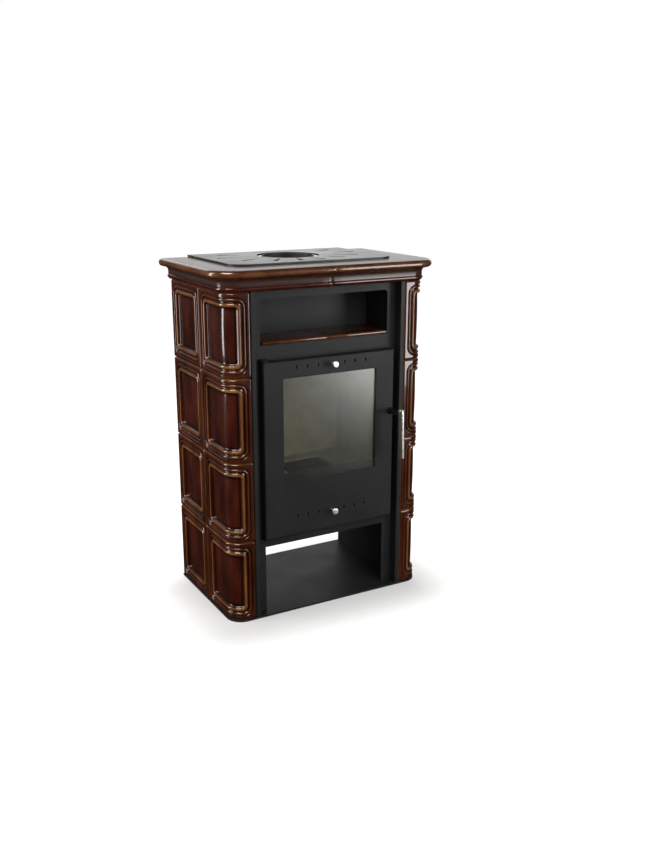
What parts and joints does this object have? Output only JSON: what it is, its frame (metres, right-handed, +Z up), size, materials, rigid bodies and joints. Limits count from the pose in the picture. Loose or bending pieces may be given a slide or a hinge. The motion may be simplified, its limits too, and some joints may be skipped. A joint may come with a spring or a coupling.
{
  "type": "tiled wood stove",
  "caption": "Free-standing wood stove with brown glazed tile sides, a tiled cornice, a warming niche, a glazed fire door and an open log compartment.",
  "frame": {"origin": "centre of the cladding's footprint, on the floor", "axes": "+Z up, -Y out of the door, +X towards the door handle"},
  "size_m": [0.6684, 0.4565, 0.962],
  "materials": {
    "brown_glaze": "gloss",
    "black_paint": "satin",
    "sheet_steel": "matt",
    "raw_steel": "matt",
    "firebrick": "matt",
    "cast_iron": "matt",
    "fire_glass": "gloss",
    "glass_fibre": "matt",
    "bronze": "satin",
    "stainless": "satin",
    "screw_steel": "satin",
    "black_metal": "satin",
    "knob_metal": "gloss"
  },
  "bodies": {
    "stove": {"left_side_tile_1": "brown_glaze", "left_side_tile_2": "brown_glaze", "left_side_tile_3": "brown_glaze", "left_side_tile_4": "brown_glaze", "left_corner_tile_1": "brown_glaze", "left_corner_tile_2": "brown_glaze", "left_corner_tile_3": "brown_glaze", "left_corner_tile_4": "brown_glaze", "right_side_tile_1": "brown_glaze", "right_side_tile_2": "brown_glaze", "right_side_tile_3": "brown_glaze", "right_side_tile_4": "brown_glaze", "right_corner_tile_1": "brown_glaze", "right_corner_tile_2": "brown_glaze", "right_corner_tile_3": "brown_glaze", "right_corner_tile_4": "brown_glaze", "base_plate": "black_paint", "left_side_wall": "black_paint", "right_side_wall": "black_paint", "front_plate": "black_paint", "left_front_channel": "black_paint", "right_front_channel": "black_paint", "tile_rails": "sheet_steel", "rear_panel": "sheet_steel", "rear_panel_screws": "screw_steel", "compartment_ceiling": "sheet_steel", "niche_liner": "black_paint", "left_shelf_tile": "brown_glaze", "right_shelf_tile": "brown_glaze", "left_cornice": "brown_glaze", "right_cornice": "brown_glaze", "cover_plate": "black_paint", "flue_collar": "raw_steel", "firebox_shell": "raw_steel", "left_firebrick": "firebrick", "right_firebrick": "firebrick", "back_firebrick": "firebrick", "side_hearth_stones": "firebrick", "rear_hearth_stone": "firebrick", "baffle": "firebrick", "grate": "cast_iron", "log_guard": "cast_iron", "ash_pan": "sheet_steel", "hinge_brackets": "black_paint", "latch_catch": "raw_steel"},
    "door": {"door_panel": "black_paint", "door_inner_frame": "sheet_steel", "door_gasket": "glass_fibre", "door_glass": "fire_glass", "glass_tape": "glass_fibre", "glass_clips": "sheet_steel", "slide_guides": "sheet_steel", "hinge_bushes": "bronze"},
    "handle": {"handle_stem": "black_metal", "handle_bar": "stainless", "latch_tongue": "raw_steel"},
    "upper_slide": {"upper_air_slide": "sheet_steel", "upper_air_knob": "knob_metal"},
    "lower_slide": {"lower_air_slide": "sheet_steel", "lower_air_knob": "knob_metal"}
  },
  "joints": [
    {"name": "door_hinge", "type": "hinge", "parent": "stove", "child": "door", "pos_m": [-0.193, -0.175, 0.47], "axis": [0, 0, -1], "range_deg": [0, 110]},
    {"name": "handle_turn", "type": "hinge", "parent": "door", "child": "handle", "pos_m": [0.19, -0.2, 0.541], "axis": [0, -1, 0], "range_deg": [0, 90]},
    {"name": "upper_air_slide", "type": "slide", "parent": "door", "child": "upper_slide", "axis": [1, 0, 0], "range_m": [-0.01, 0.006]},
    {"name": "lower_air_slide", "type": "slide", "parent": "door", "child": "lower_slide", "axis": [1, 0, 0], "range_m": [-0.01, 0.006]}
  ]
}
